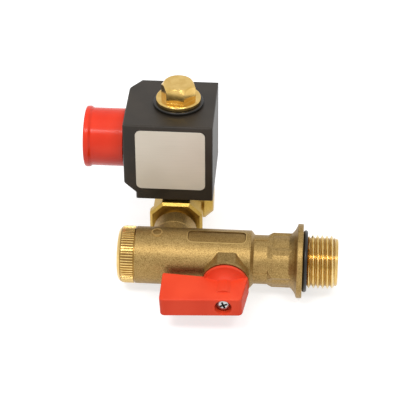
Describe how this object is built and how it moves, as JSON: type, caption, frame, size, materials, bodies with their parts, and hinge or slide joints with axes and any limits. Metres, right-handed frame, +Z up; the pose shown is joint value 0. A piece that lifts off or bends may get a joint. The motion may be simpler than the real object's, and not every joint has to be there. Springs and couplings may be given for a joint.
{
  "type": "automatic drain valve",
  "caption": "Brass ball valve with a strainer and a lever handle, with a solenoid valve at its outlet, which drains condensate from a compressed-air line.",
  "frame": {"origin": "on the inlet thread's axis, in the plane of the flange's seat face", "axes": "+X out of the inlet thread, +Z up the coil, so that the handle is on the -Y side and the outlet port opens to +Y"},
  "size_m": [0.1023, 0.0893, 0.0701],
  "materials": {
    "cast_brass": "forged and blasted, machined where it seals",
    "turned_brass": "turned bright",
    "chromed_brass": "chrome-plated brass",
    "steel": "bright stainless steel",
    "zinc": "zinc-plated steel",
    "copper": null,
    "nitrile": "black nitrile, satin",
    "ptfe": "white PTFE",
    "red_lever": "red painted or moulded, satin",
    "red_cap": "red moulded, glossy",
    "black_coil": "black overmould, satin",
    "champagne_plate": "bare plate, no print",
    "bobbin": "natural moulded"
  },
  "bodies": {
    "valve": {"valve_body": "cast_brass", "inlet_oring": "nitrile", "ball_seat_inlet": "ptfe", "ball_seat_strainer": "ptfe", "seat_retainer": "turned_brass", "stem_thrust_washer": "ptfe", "solenoid_body": "cast_brass", "armature_tube": "steel", "tube_oring": "nitrile", "fixed_core": "steel", "shading_ring": "copper", "coil_base_washer": "steel", "coil_top_washer": "nitrile", "coil_nut": "turned_brass"},
    "lever": {"handle": "red_lever", "handle_screw": "zinc", "stem": "turned_brass", "stem_orings": "nitrile", "ball": "chromed_brass"},
    "strainer": {"strainer_screen": "steel", "strainer_cap_seal": "nitrile"},
    "screw_cap": {"strainer_cap": "turned_brass"},
    "armature": {"plunger": "steel", "plunger_seal": "nitrile", "plunger_spring": "steel"},
    "coil": {"coil_housing": "black_coil", "coil_yoke": "steel", "coil_bobbin": "bobbin", "coil_winding": "copper", "rating_label": "champagne_plate", "conduit_hub": "steel"},
    "protector": {"thread_cap": "red_cap"}
  },
  "joints": [
    {"name": "handle_turn", "type": "hinge", "parent": "valve", "child": "lever", "pos_m": [-0.0292, 0, 0], "axis": [0, 1, 0], "range_deg": [0, 92.8]},
    {"name": "strainer_travel", "type": "slide", "parent": "valve", "child": "strainer", "axis": [-1, 0, 0], "range_m": [0, 0.006]},
    {"name": "strainer_cap_turn", "type": "hinge", "parent": "strainer", "child": "screw_cap", "pos_m": [-0.066, 0, 0], "axis": [-1, 0, 0], "range_deg": [0, 2160]},
    {"name": "plunger_lift", "type": "slide", "parent": "valve", "child": "armature", "axis": [0, 0, 1], "range_m": [0, 0.0022], "stiffness_N_per_m": 500, "springref_m": -0.004, "deforming": ["plunger_spring"]},
    {"name": "coil_swivel", "type": "hinge", "parent": "valve", "child": "coil", "pos_m": [-0.0513, 0.03906, 0.0291], "axis": [0, 0, 1], "continuous": true},
    {"name": "thread_cap_pull", "type": "slide", "parent": "coil", "child": "protector", "axis": [-1, 0, 0], "range_m": [0, 0.016]}
  ],
  "couplings": [
    {"joint": "strainer_cap_turn", "follows": "strainer_travel", "rad_per_m": 6283.2}
  ]
}
